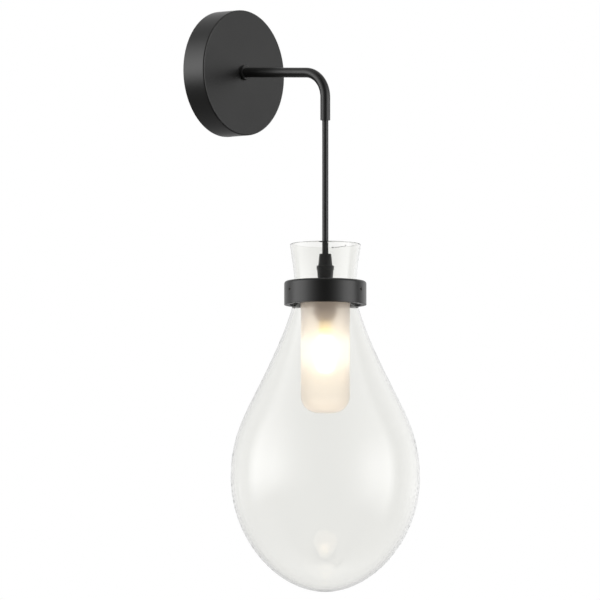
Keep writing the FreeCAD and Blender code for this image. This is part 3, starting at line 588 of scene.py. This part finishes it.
def light_world():
    """A white room to the eye and through glass, and a soft even level to all that scatters light.
    Gloss in and behind glass sees that white at the sides and the back, and grey in front. Other
    gloss sees a tall soft panel at each side of the photograph's view, pale grey behind the
    object, and a dark studio in front of it."""
    world = bpy.data.worlds.new("studio")
    bpy.context.scene.world = world
    world.use_nodes = True
    tree = world.node_tree
    tree.nodes.clear()
    way = add(tree, "ShaderNodeTexCoord").outputs["Generated"]
    ahead = Vector((TO_CAMERA.x, TO_CAMERA.y, 0.0)).normalized()
    along = add(tree, "ShaderNodeVectorMath", {0: way, 1: ahead}, operation="DOT_PRODUCT")
    across = add(tree, "ShaderNodeVectorMath", {0: way, 1: VIEW_RIGHT}, operation="DOT_PRODUCT")
    bearing = add(tree, "ShaderNodeMath", {0: across.outputs["Value"], 1: along.outputs["Value"]},
                  operation="ARCTAN2")
    turn = add(tree, "ShaderNodeMapRange",
               {"Value": bearing.outputs[0], "From Min": -math.pi, "From Max": math.pi}).outputs[0]
    height = add(tree, "ShaderNodeSeparateXYZ", {"Vector": way})
    rise = add(tree, "ShaderNodeMapRange",
               {"Value": height.outputs["Z"], "From Min": -1.0, "From Max": 1.0}).outputs[0]
    studio = light_field(tree, turn, rise, ROOM_ROUND_SHARES, ROOM_UP_SHARES)
    for round_shares, up_shares in ((LEFT_ROUND_SHARES, LEFT_UP_SHARES),
                                    (RIGHT_ROUND_SHARES, RIGHT_UP_SHARES)):
        panel = light_field(tree, turn, rise, round_shares, up_shares)
        studio = add(tree, "ShaderNodeMix", {0: 1.0, 6: studio, 7: panel},
                     data_type="RGBA", blend_type="ADD").outputs[2]
    gloss = add(tree, "ShaderNodeBackground", {"Color": studio, "Strength": PANEL_STRENGTH})
    behind_glass = add(tree, "ShaderNodeValToRGB", {"Fac": turn}, greys(BEHIND_GLASS_SHARES))
    inner = add(tree, "ShaderNodeBackground",
                {"Color": behind_glass.outputs[0], "Strength": INNER_GLOSS_STRENGTH})
    white = add(tree, "ShaderNodeBackground", {"Color": linear("#ffffff"), "Strength": 1.0})
    soft = add(tree, "ShaderNodeBackground", {"Color": linear("#ffffff"), "Strength": SOFT_STRENGTH})
    path = add(tree, "ShaderNodeLightPath")
    mirrored = add(tree, "ShaderNodeMath", {0: path.outputs["Glossy Depth"], 1: 0.0},
                   operation="GREATER_THAN")
    in_glass = add(tree, "ShaderNodeMath", {0: path.outputs["Transmission Depth"], 1: 0.0},
                   operation="GREATER_THAN")
    shine = add(tree, "ShaderNodeMixShader",
                {0: in_glass.outputs[0], 1: gloss.outputs[0], 2: inner.outputs[0]})
    through = add(tree, "ShaderNodeMixShader",
                  {0: path.outputs["Is Transmission Ray"], 1: soft.outputs[0], 2: white.outputs[0]})
    clean = add(tree, "ShaderNodeMixShader",
                {0: mirrored.outputs[0], 1: through.outputs[0], 2: shine.outputs[0]})
    scattered = add(tree, "ShaderNodeMath", {0: path.outputs["Diffuse Depth"], 1: 0.0},
                    operation="GREATER_THAN")
    bounced = add(tree, "ShaderNodeMixShader",
                  {0: scattered.outputs[0], 1: clean.outputs[0], 2: soft.outputs[0]})
    seen = add(tree, "ShaderNodeMixShader",
               {0: path.outputs["Is Camera Ray"], 1: bounced.outputs[0], 2: white.outputs[0]})
    add(tree, "ShaderNodeOutputWorld", {"Surface": seen.outputs[0]})


def hang_lamp(name, turn, height, distance):
    """A soft square lamp that faces the middle of the view. Gloss and glass don't show it,
    because the world gives them soft panels without edges."""
    lamp = bpy.data.lights.new(name, "AREA")
    lamp.shape = "SQUARE"
    lamp.size = LAMP_SIZE
    lamp.energy = LAMP_POWER
    stand = bpy.data.objects.new(name, lamp)
    bpy.context.scene.collection.objects.link(stand)
    bearing = VIEW_TURN + math.radians(turn)
    stand.location = MIDDLE + Vector((math.sin(bearing) * distance, -math.cos(bearing) * distance, height))
    stand.rotation_euler = (MIDDLE - stand.location).to_track_quat("-Z", "Y").to_euler()
    stand.visible_glossy = False
    stand.visible_transmission = False


def hang_lamps():
    """One lamp at each side of the view and one above, for the even light of a studio."""
    hang_lamp("left_lamp", LEFT_LAMP_TURN, SIDE_LAMP_HEIGHT, SIDE_LAMP_DISTANCE)
    hang_lamp("right_lamp", RIGHT_LAMP_TURN, SIDE_LAMP_HEIGHT, SIDE_LAMP_DISTANCE)
    hang_lamp("top_lamp", TOP_LAMP_TURN, TOP_LAMP_HEIGHT, TOP_LAMP_DISTANCE)


finishes = {name: finish() for name, finish in FINISHES.items()}
dress(finishes)
hang_cord(finishes["cord_jacket"])
place_camera()
lay_floor()
light_world()
hang_lamps()
bpy.context.scene.view_settings.view_transform = "Standard"
